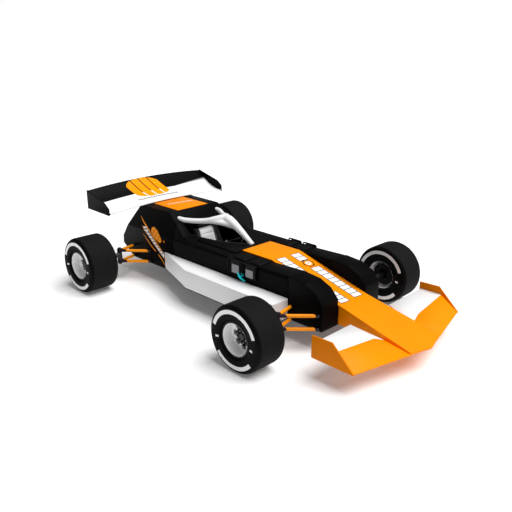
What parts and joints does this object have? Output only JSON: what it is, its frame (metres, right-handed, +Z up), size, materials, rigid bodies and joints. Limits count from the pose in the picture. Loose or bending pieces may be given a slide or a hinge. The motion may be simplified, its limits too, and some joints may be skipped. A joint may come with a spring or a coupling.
{
  "type": "open wheel racing car",
  "caption": "Single seat open wheel racing car with a cockpit hoop, V shaped front wing, arched rear wing, side pods and steered front wheels.",
  "frame": {"origin": "on the ground, at the middle of the car's length and width", "axes": "+X to the driver's left, +Y to the rear, +Z up; the nose points to -Y"},
  "size_m": [2.672, 4.344, 1.1688],
  "materials": {
    "body_black": "glossy black bodywork",
    "orange": "glossy orange paint",
    "white": "glossy white paint",
    "floor": "matt composite",
    "engine": "rough casting",
    "upholstery": "woven cover",
    "pad": "soft black pad",
    "metal_dark": "dark steel",
    "controls": "matt dark grey",
    "vents": "matt black",
    "tyre": "smooth slick rubber",
    "rim": "satin white paint"
  },
  "bodies": {
    "chassis": {"front_cowl": "body_black", "monocoque": "body_black", "engine_cover": "body_black", "floor_panel": "floor", "nose_box": "orange", "nose_top_panel": "orange", "scuttle_panel": "orange", "engine_cover_panel": "orange", "power_unit": "engine", "sidepod_left": "white", "sidepod_right": "white", "halo": "white", "seat": "upholstery", "headrest": "pad", "steering_column": "metal_dark", "cooler_pods_left": "vents", "cooler_pods_right": "vents", "front_wing_main": "orange", "front_flap_left": "white", "front_flap_right": "white", "front_endplate_left": "orange", "front_endplate_right": "orange", "rear_wing": "white", "rear_endplate_left": "body_black", "rear_endplate_right": "body_black", "rear_wing_pylons": "body_black", "front_pickups": "metal_dark", "rear_pickups": "metal_dark", "front_wishbones_left": "orange", "front_wishbones_right": "orange", "rear_wishbones_left": "orange", "rear_wishbones_right": "orange", "rear_upright_left": "metal_dark", "rear_upright_right": "metal_dark"},
    "wheel_front_left": {"tyre_front_left": "tyre", "rim_front_left": "rim"},
    "wheel_front_right": {"tyre_front_right": "tyre", "rim_front_right": "rim"},
    "wheel_rear_left": {"tyre_rear_left": "tyre", "rim_rear_left": "rim"},
    "wheel_rear_right": {"tyre_rear_right": "tyre", "rim_rear_right": "rim"},
    "knuckle_left": {"front_knuckle_left": "metal_dark"},
    "knuckle_right": {"front_knuckle_right": "metal_dark"},
    "steering_wheel": {"steering_wheel": "controls"}
  },
  "joints": [
    {"name": "steer_left", "type": "hinge", "parent": "chassis", "child": "knuckle_left", "pos_m": [0.755, -0.93, 0.335], "axis": [0, 0, 1], "range_deg": [-15, 15]},
    {"name": "steer_right", "type": "hinge", "parent": "chassis", "child": "knuckle_right", "pos_m": [-0.755, -0.93, 0.335], "axis": [0, 0, 1], "range_deg": [-15, 15]},
    {"name": "steering_wheel_turn", "type": "hinge", "parent": "chassis", "child": "steering_wheel", "pos_m": [0, 0.478, 0.611], "axis": [0, 0.9397, 0.342], "range_deg": [-90, 90]},
    {"name": "spin_front_left", "type": "hinge", "parent": "knuckle_left", "child": "wheel_front_left", "pos_m": [1.1, -0.93, 0.335], "axis": [1, 0, 0], "continuous": true},
    {"name": "spin_front_right", "type": "hinge", "parent": "knuckle_right", "child": "wheel_front_right", "pos_m": [-1.1, -0.93, 0.335], "axis": [1, 0, 0], "continuous": true},
    {"name": "spin_rear_left", "type": "hinge", "parent": "chassis", "child": "wheel_rear_left", "pos_m": [1.1, 1.797, 0.335], "axis": [1, 0, 0], "continuous": true},
    {"name": "spin_rear_right", "type": "hinge", "parent": "chassis", "child": "wheel_rear_right", "pos_m": [-1.1, 1.797, 0.335], "axis": [1, 0, 0], "continuous": true}
  ],
  "couplings": [
    {"joint": "steer_right", "follows": "steer_left", "ratio": 1},
    {"joint": "steering_wheel_turn", "follows": "steer_left", "ratio": 6}
  ]
}
